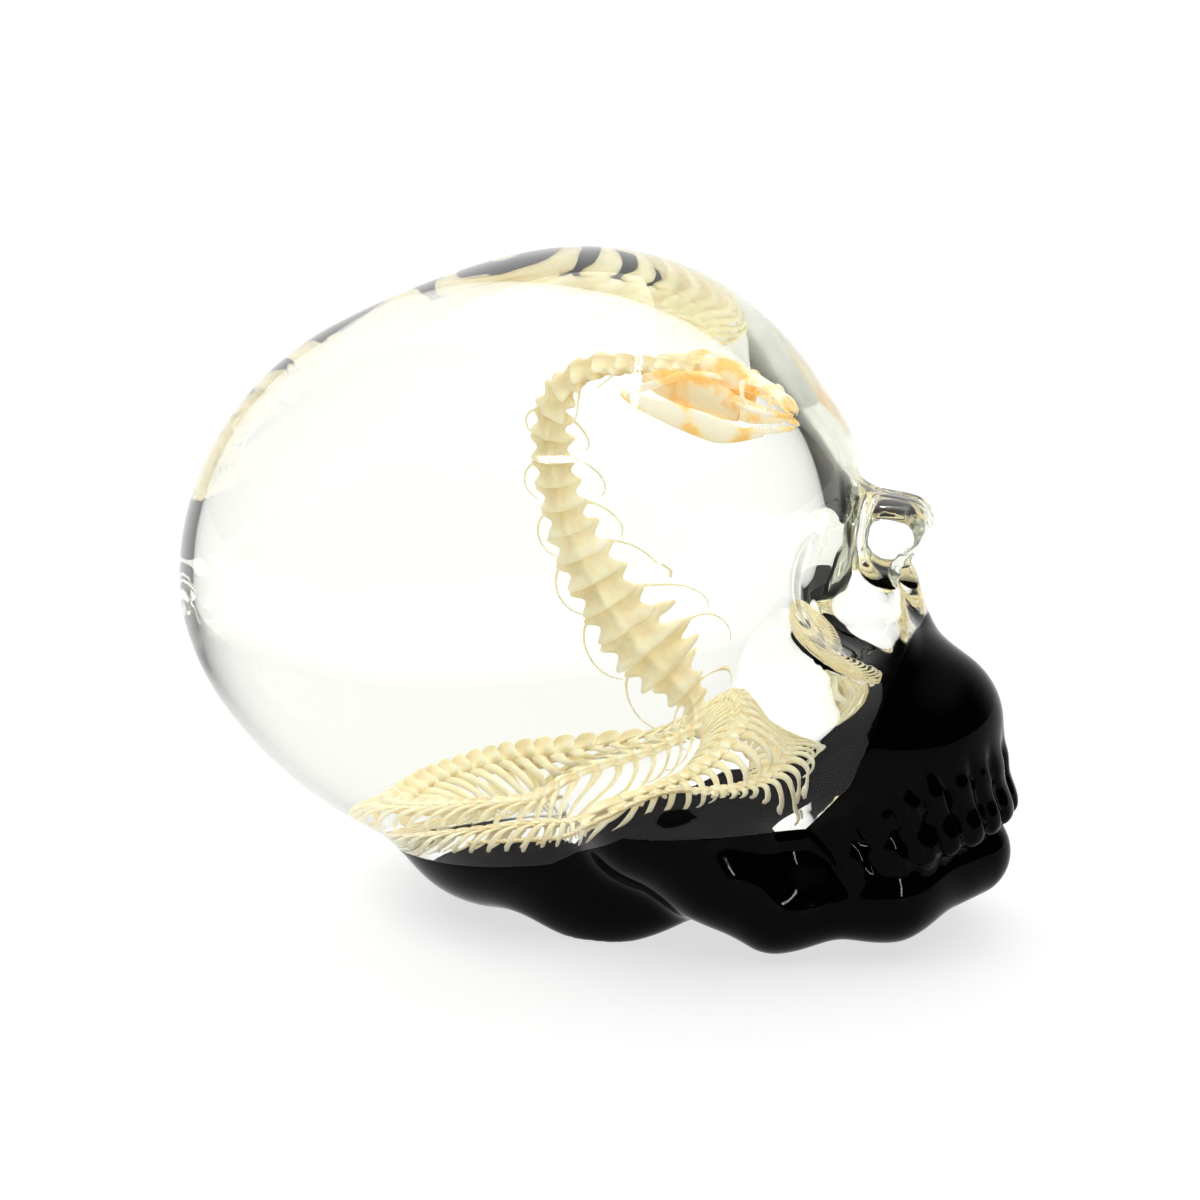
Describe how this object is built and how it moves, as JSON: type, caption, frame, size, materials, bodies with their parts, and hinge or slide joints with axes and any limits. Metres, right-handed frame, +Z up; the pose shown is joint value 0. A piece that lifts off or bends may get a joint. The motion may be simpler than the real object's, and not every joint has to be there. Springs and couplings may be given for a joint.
{
  "type": "snake skeleton cast in a resin skull",
  "caption": "Small coiled snake skeleton with raised head, embedded in a glossy human-skull casting of clear resin over black resin, a desk display piece",
  "frame": {"origin": "middle of the bounding box in x and y, at the level that the casting rests on", "axes": "+Z up; +Y from the face to the back of the skull casting, the longest extent; X across, from side to side; the face looks towards -Y"},
  "size_m": [0.082, 0.1253, 0.0976],
  "materials": {
    "clear_resin": "clear cast resin, polished, faintly green, slightly wavy outside",
    "black_resin": "opaque black cast resin, polished, with a few fibres and specks in its skin",
    "bone": "dry ivory bone, yellowed, satin",
    "head_bone": "dry bone, orange over the braincase, paler round the openings"
  },
  "bodies": {
    "root": {"resin_clear": "clear_resin", "resin_black": "black_resin", "snake_skull": "head_bone", "snake_upper_jaw_left": "head_bone", "snake_upper_jaw_right": "head_bone", "snake_lower_jaw_left": "head_bone", "snake_lower_jaw_right": "head_bone", "snake_neck": "bone", "snake_trunk_1": "bone", "snake_trunk_2": "bone", "snake_trunk_3": "bone", "snake_trunk_4": "bone", "snake_trunk_5": "bone", "snake_trunk_6": "bone", "snake_tail": "bone"}
  },
  "joints": []
}
